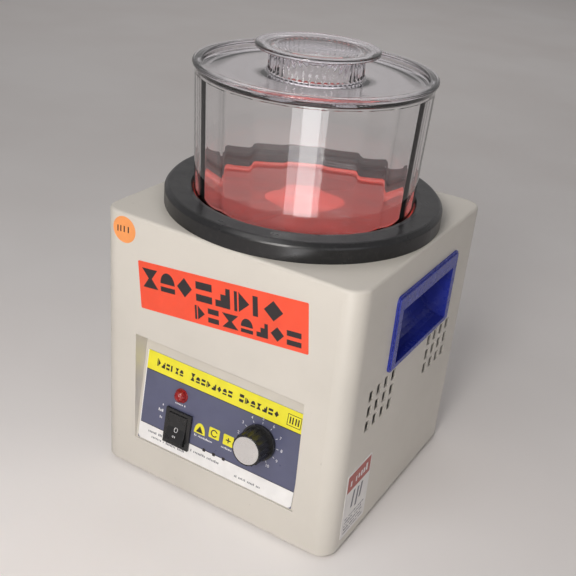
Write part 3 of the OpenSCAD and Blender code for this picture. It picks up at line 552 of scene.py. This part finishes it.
# ---- front label: two rows of plain shapes in place of its print
HALF_DISC = arc(0.5, 0.42, 0.5, 0, 180, 15, 0.58)
MARKS = {
    "bars": [rect(0, 1, 0, 0.36), rect(0, 1, 0.62, 1)],
    "diamond": [[(0.5, 0), (1, 0.5), (0.5, 1), (0, 0.5)]],
    "dome": [HALF_DISC, rect(0, 1, 0, 0.26)],
    "glass": [[(0, 0), (1, 0), (0.6, 0.5), (1, 1), (0, 1), (0.4, 0.5)]],
    "stair": [[(0, 0), (1, 0), (1, 1), (0.7, 1), (0.7, 0.66), (0.36, 0.66), (0.36, 0.33), (0, 0.33)]],
    "arrow": [[(0.3, 0), (1, 0.5), (0.3, 1)], rect(0, 0.2, 0, 1)],
    "block": [rect(0, 1, 0, 1)],
}


def marks(kinds, places, y0, y1, width):
    """Plain shapes, each fitted to its own place along a row of the label."""
    out = []
    for kind, (a, b) in zip(kinds, places):
        x0, w = width * (a - 0.5), width * (b - a)
        out += [[(x0 + w * u, y0 + (y1 - y0) * v) for u, v in pts] for pts in MARKS[kind]]
    return out


lo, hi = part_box("front_label")
tilt = math.radians(5.9)
LABEL_W = 151
middle = ((lo[0] + hi[0]) / 2, lo[1], (lo[2] + hi[2]) / 2)
along = (math.cos(tilt), 0, math.sin(tilt))
upward = (-math.sin(tilt), 0, math.cos(tilt))
front = Sheet(middle, along, upward, -Y, "case", "label_orange")
shapes = marks(("glass", "dome", "diamond", "bars", "stair", "arrow", "block", "diamond"),
               ((0.024, 0.121), (0.138, 0.228), (0.243, 0.335), (0.359, 0.456), (0.476, 0.563),
                (0.587, 0.675), (0.694, 0.723), (0.757, 0.864)), -1.0, 14.9, LABEL_W)
shapes += marks(("arrow", "bars", "glass", "dome", "stair", "diamond", "bars"),
                ((0.348, 0.408), (0.428, 0.493), (0.513, 0.608), (0.623, 0.693), (0.713, 0.778),
                 (0.793, 0.868), (0.883, 0.963)), -16.4, -4.8, LABEL_W)
front.film("front_label_marks", shapes, ink_dark)

# ---- amber dot
lo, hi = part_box("dot_label")
dot = Sheet(((lo[0] + hi[0]) / 2, lo[1], (lo[2] + hi[2]) / 2), X, Z, -Y, "case", "label_amber")
BAR_W, BAR_H, BAR_STEP = 1.1, 5.0, 0.3
bars = []
for i, x in enumerate((-6.2, -3.4, 0.0, 4.0)):
    base = -2.6 + BAR_STEP * i
    bars.append(rect(x - BAR_W / 2, x + BAR_W / 2, base, base + BAR_H))
dot.film("dot_label_bars", bars, ink_dark)

# ---- side label: red head, dark mark and lines of small bars
lo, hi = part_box("side_label")
side = Sheet((hi[0], (lo[1] + hi[1]) / 2, (lo[2] + hi[2]) / 2), Y, Z, X, "case", "label_white")
side.film("side_label_head", [rect(-18.8, 18.8, 13.5, 29.6, 0.8)], ink_red)
side.film("side_label_head_bars", word(-14, 14, 18, 25, 3, 4.2, 0.6), ink_light, 0.05)
slants = [[(-9, -6), (-6, -6), (-3.5, 10), (-6.5, 10)], [(-1.5, -9), (1.5, -9), (3.5, 9), (0.5, 9)]]
slants.append([(4.5, -4), (7.5, -4), (9.5, 10), (6.5, 10)])
side.film("side_label_mark", slants, ink_grey)
rows = []
for i in range(5):
    rows += word(-16, 16 - 3 * (i % 2), -14.5 - i * 3.4, -12.6 - i * 3.4, 20 + i, 1.7, 0.66)
side.film("side_label_lines", rows, ink_grey)

# ---- control panel: the knob's joint gives the panel's plane
jk = joints["knob_turn"]
n_out = -Vector(jk["axis"])
s_up = n_out.cross(X)
KU, KS = 39.5, 45.0          # the knob's centre on the panel: across from the middle, up from the foot
panel = Sheet(Vector(jk["pos_m"]) - X * KU * MM - s_up * KS * MM, X, s_up, n_out, "case", "panel_print")
TOP = 0.4                    # the printed face's height over that plane
P_LEFT, P_RIGHT = -76, 76
STRIP = (0.8, 15.8)
BAND = (65.6, 82.3)
EDGE_LINE = P_LEFT + 0.9
SW = (-49.0, -24.6, 9.4)      # the switch cuts the white strip: left, right, bottom
panel.film("print_strip", [rect(P_LEFT, SW[0], *STRIP, 3.5, (1, 0, 0, 0)),
                           rect(SW[0], SW[1], STRIP[0], SW[2]),
                           rect(SW[1], P_RIGHT, *STRIP, 3.5, (0, 1, 0, 0))], ink_strip, TOP)
panel.film("print_left_edge", [rect(P_LEFT, EDGE_LINE, STRIP[1], BAND[1])], ink_strip, TOP)
panel.film("print_band", [rect(EDGE_LINE, P_RIGHT, *BAND)], ink_yellow, TOP)
lines = [rect(EDGE_LINE, P_RIGHT, BAND[0] - 0.6, BAND[0])]
lines += [rect(EDGE_LINE, SW[0], STRIP[1], STRIP[1] + 0.5), rect(SW[1], P_RIGHT, STRIP[1], STRIP[1] + 0.5)]
for u in (-9.5, 0.2, 9.8):
    lines.append(rect(u - 1.4, u + 1.4, 14.6, 17.4, 0.6))
panel.film("print_lines", lines, ink_dark, TOP, 0.06)
WORDS = ((-65.5, 4.6, ("arrow", "stair", "bars", "block", "glass", "dome")),
         (-31.5, 5.2, ("glass", "dome", "bars", "arrow", "stair", "diamond", "dome", "bars")),
         (15.5, 5.4, ("bars", "arrow", "dome", "glass", "stair", "bars", "diamond")))
WORD_Y, TALL, SHORT = 70.8, 6.6, 5.2
words = []
for x0, pitch, kinds in WORDS:
    for k, kind in enumerate(kinds):
        w = pitch * (0.34 if kind == "block" else 0.74)
        x, tall = x0 + pitch * k, TALL if k == 0 else SHORT
        words += [[(x + w * u, WORD_Y + tall * v) for u, v in pts] for pts in MARKS[kind]]
panel.film("print_words", words, ink_dark, TOP + 0.05)
x0, x1, y0, y1, t = 59.6, 71.8, 68.6, 78.4, 0.5
frame_bars = [rect(x0, x1, y0, y0 + t), rect(x0, x1, y1 - t, y1)]
frame_bars += [rect(x0, x0 + t, y0 + t, y1 - t), rect(x1 - t, x1, y0 + t, y1 - t)]
frame_bars += strokes(61.6, 65.0, 70.6, 76.4, 2, 1.1) + strokes(66.6, 70.0, 70.6, 76.4, 2, 1.1)
panel.film("print_box", frame_bars, ink_dark, TOP + 0.05)

# icons: a sheltered heap, a turning ring and a plus
shelter = arc(-16.1, 28.2, 5.4, 0, 180, 15, 9.4)
grounds = [shelter, rect(-7.2, 3.0, 29.6, 38.8, 0.8), rect(6.8, 16.8, 29.0, 38.4, 0.8)]
panel.film("icon_grounds", grounds, ink_yellow, TOP)
heap = [(-19.6, 29.2), (-12.6, 29.2), (-16.1, 35.0)]
icons = [heap, rect(11.2, 12.2, 31.4, 36.0), rect(9.4, 14.0, 33.2, 34.2)]
RING_U, RING_S, RING_IN, RING_OUT = -2.1, 34.2, 2.3, 3.3
for i in range(14):
    a0, a1 = math.radians(20 + i * 22), math.radians(20 + (i + 1) * 22)
    corners = ((RING_IN, a0), (RING_OUT, a0), (RING_OUT, a1), (RING_IN, a1))
    icons.append([(RING_U + r * math.cos(a), RING_S + r * math.sin(a)) for r, a in corners])
panel.film("icon_marks", icons, ink_dark, TOP + 0.05)
small = word(-22, -2, 25.0, 26.8, 31, 1.3) + word(6, 17, 25.4, 27.2, 32, 1.3)
small += word(-43, -32.5, 45.4, 46.9, 33, 1.3)
small += word(-58.5, -53, 32.6, 35.2, 34, 1.7) + word(-55, -52.8, 38.6, 40.8, 35, 1.6)
small += word(-56.5, -52.8, 26.6, 28.8, 36, 1.6)
panel.film("print_small", small, ink_light, TOP)
fine = word(-66, -50, 9.4, 11.6, 41, 1.5) + word(-23.6, 6, 9.4, 11.6, 42, 1.5)
fine += word(-62, -27, 5.0, 7.2, 43, 1.5) + word(22, 47, 5.4, 7.4, 44, 1.4)
panel.film("print_fine", fine, ink_grey, TOP + 0.05)

# dial: eleven ticks round the knob, numbered
TICKS, TICK_IN, TICK_OUT, TICK_W = 11, 15.4, 17.2, 0.44
NUMBER_R, NUMBER_SIZE = 20.0, 2.7


def dial_angle(i):
    return math.radians(240 - 30 * i)


ticks = []
for i in range(TICKS):
    c, d = math.cos(dial_angle(i)), math.sin(dial_angle(i))
    corners = rect(TICK_IN, TICK_OUT, -TICK_W / 2, TICK_W / 2)
    ticks.append([(KU + c * r - d * w, KS + d * r + c * w) for r, w in corners])
panel.film("dial_ticks", ticks, ink_light, TOP)


def digits(text, cx, cy, size, name):
    """A dial number as a thin solid, laid on the panel."""
    cu = bpy.data.curves.new(name, "FONT")
    cu.body, cu.size, cu.extrude = text, size * 1.35, 0.03
    cu.align_x, cu.align_y, cu.resolution_u = "CENTER", "CENTER", 3
    tmp = bpy.data.objects.new(name, cu)
    scene.collection.objects.link(tmp)
    bpy.context.view_layer.update()
    me = bpy.data.meshes.new_from_object(tmp)
    pts = [panel.at(cx + v.co.x, cy + v.co.y, TOP + 0.03 + v.co.z) for v in me.vertices]
    faces = [list(p.vertices) for p in me.polygons]
    bpy.data.objects.remove(tmp)
    bpy.data.meshes.remove(me)
    return pts, faces


pts, faces = [], []
for i in range(TICKS):
    u = KU + NUMBER_R * math.cos(dial_angle(i))
    v = KS + NUMBER_R * math.sin(dial_angle(i))
    p, f = digits(str(i), u, v, NUMBER_SIZE, "dial_number")
    faces += [[len(pts) + k for k in q] for q in f]
    pts += p
mesh_piece("dial_numbers", pts, faces, ink_light, "case")

# ---- rocker marks: a ring and a bar, on the lower of its two faces
jr = joints["rocker_tilt"]
rest = math.radians(sum(jr["range_deg"]) / 2)
lean = math.atan2(n_out.z, -n_out.y) + rest
ry, rz = Vector((0, math.cos(lean), -math.sin(lean))), Vector((0, math.sin(lean), math.cos(lean)))
dip = math.atan2(1.5, 11.9)      # each half of the rocker slopes down from its middle
rock = Sheet(Vector(jr["pos_m"]) - ry * 5.6 * MM, X, rz * math.cos(dip) + ry * math.sin(dip),
             -ry * math.cos(dip) + rz * math.sin(dip), "rocker", "switch_black")
RING_STEPS, RING_W, RING_H, RING_MID, HOLLOW = 24, 1.75, 2.2, -1.6, 0.78
oval = []
for i in range(RING_STEPS):
    a0, a1 = 2 * math.pi * i / RING_STEPS, 2 * math.pi * (i + 1) / RING_STEPS
    corners = ((HOLLOW, a0), (1, a0), (1, a1), (HOLLOW, a1))
    oval.append([(k * RING_W * math.cos(a), RING_MID + k * RING_H * math.sin(a)) for k, a in corners])
rock.film("rocker_ring", oval, ink_light, 0.02)
bars = [rect(-1.3, -0.7, -8.4, -6.8), rect(0.3, 0.9, -8.4, -6.8), rect(-2.0, -1.7, -8.2, -7.0)]
rock.film("rocker_bar", bars, ink_light, 0.02)

# ---- back: a plain rating plate
lo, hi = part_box("case_shell")
back = Sheet(((lo[0] + hi[0]) / 2, hi[1], 0.0), -X, Z, Y, "case", "label_white")
back.film("back_plate", [rect(20, 80, 150, 190, 2)], ink_strip, 0.0, 0.2)
rows = []
for i in range(6):
    rows += word(25, 75 - 6 * (i % 3), 183 - i * 5.2, 185.6 - i * 5.2, 60 + i, 1.9, 0.62)
back.film("back_plate_lines", rows, ink_grey, 0.2)


# ---------------------------------------------------------------- stage, camera and lights

def make_floor():
    m = Mat("backdrop", (0.92, 0.885, 0.865), 0.85)
    wide = m.noise(2.2, 3, 0.5)
    m.color(m.ramp(wide, [(0.35, (0.89, 0.85, 0.83)), (0.65, (0.95, 0.92, 0.905))]))
    m.bump(m.noise(5.5, 2, 0.45), 0.010, 0.35)
    m.bump(m.noise(1500, 2, 0.6), 0.0001, 0.5)
    return m.done()


CAM_TURN, CAM_UP, CAM_ROLL = math.radians(29.14), math.radians(26.99), math.radians(5.50)
CAM_PLACE = Vector((325.53, -594.83, 504.72)) * MM
away = Vector((-math.sin(CAM_TURN), math.cos(CAM_TURN), 0))     # level, from the camera to the object
FLOOR = 7.0
verts = [(x, y, 0.0) for x, y in ((-FLOOR, -FLOOR), (FLOOR, -FLOOR), (FLOOR, FLOOR), (-FLOOR, FLOOR))]
me = bpy.data.meshes.new("backdrop")
me.from_pydata(verts, [], [(0, 1, 2, 3)])
me.materials.append(make_floor())
floor = bpy.data.objects.new("backdrop", me)
scene.collection.objects.link(floor)

cam_data = bpy.data.cameras.new("camera")
cam = bpy.data.objects.new("camera", cam_data)
scene.collection.objects.link(cam)
scene.camera = cam
cam_data.sensor_width = 36.0
cam_data.lens = 56.343125
level_out = math.cos(CAM_UP)
back_v = Vector((math.sin(CAM_TURN) * level_out, -math.cos(CAM_TURN) * level_out, math.sin(CAM_UP)))
fwd = -back_v
right = fwd.cross(Z).normalized()
up = right.cross(fwd)
right2 = right * math.cos(CAM_ROLL) + up * math.sin(CAM_ROLL)
up2 = -right * math.sin(CAM_ROLL) + up * math.cos(CAM_ROLL)
rot = Matrix((right2, up2, -fwd)).transposed().to_4x4()
cam.matrix_world = Matrix.Translation(CAM_PLACE) @ rot
cam_data.clip_start, cam_data.clip_end = 0.01, 20


def area(name, place, aim, size, power, color=(1, 1, 1), diffuse=True, glossy=True):
    li = bpy.data.lights.new(name, "AREA")
    li.energy, li.color, li.size = power, color, size
    ob = bpy.data.objects.new(name, li)
    scene.collection.objects.link(ob)
    ob.location = place
    ob.rotation_mode = "QUATERNION"
    ob.rotation_quaternion = (Vector(aim) - Vector(place)).to_track_quat("-Z", "Y")
    ob.visible_diffuse = diffuse
    ob.visible_glossy = glossy
    ob.visible_camera = False


area("key", (0.20, -0.86, 0.58), (0, -0.06, 0.13), 0.26, 4.3, (1.0, 0.965, 0.93))
area("top", (-0.15, -1.0, 1.1), (-0.1, -0.7, 0), 0.7, 4.4, (1.0, 0.98, 0.97))
area("fill", (1.25, -0.65, 0.45), (0, 0, 0.16), 0.8, 1.9, (0.98, 0.97, 1.0))
area("back", away * 1.9 + Z * 2.0, away * 1.9, 2.4, 11.0, (1.0, 0.97, 0.96), glossy=False)
# a small white card for the clear bowl to mirror; it lights no plain surface and shows in every glossy and clear
# reflection
area("card", (0.25, -0.45, 0.115), (0, 0, 0.30), 0.14, 0.34, (1.0, 0.99, 1.0), diffuse=False)
world = bpy.data.worlds.new("studio")
scene.world = world
world.use_nodes = True
bg = world.node_tree.nodes["Background"]
bg.inputs["Color"].default_value = (0.95, 0.93, 0.93, 1)
# reflections and clear plastic see a brighter room than plain surfaces do
SEEN, FELT = 0.50, 0.165
path = world.node_tree.nodes.new("ShaderNodeLightPath")
level = world.node_tree.nodes.new("ShaderNodeMapRange")
level.inputs["To Min"].default_value, level.inputs["To Max"].default_value = SEEN, FELT
world.node_tree.links.new(path.outputs["Is Diffuse Ray"], level.inputs["Value"])
world.node_tree.links.new(level.outputs["Result"], bg.inputs["Strength"])
scene.view_settings.view_transform = "Standard"
scene.view_settings.look = "None"
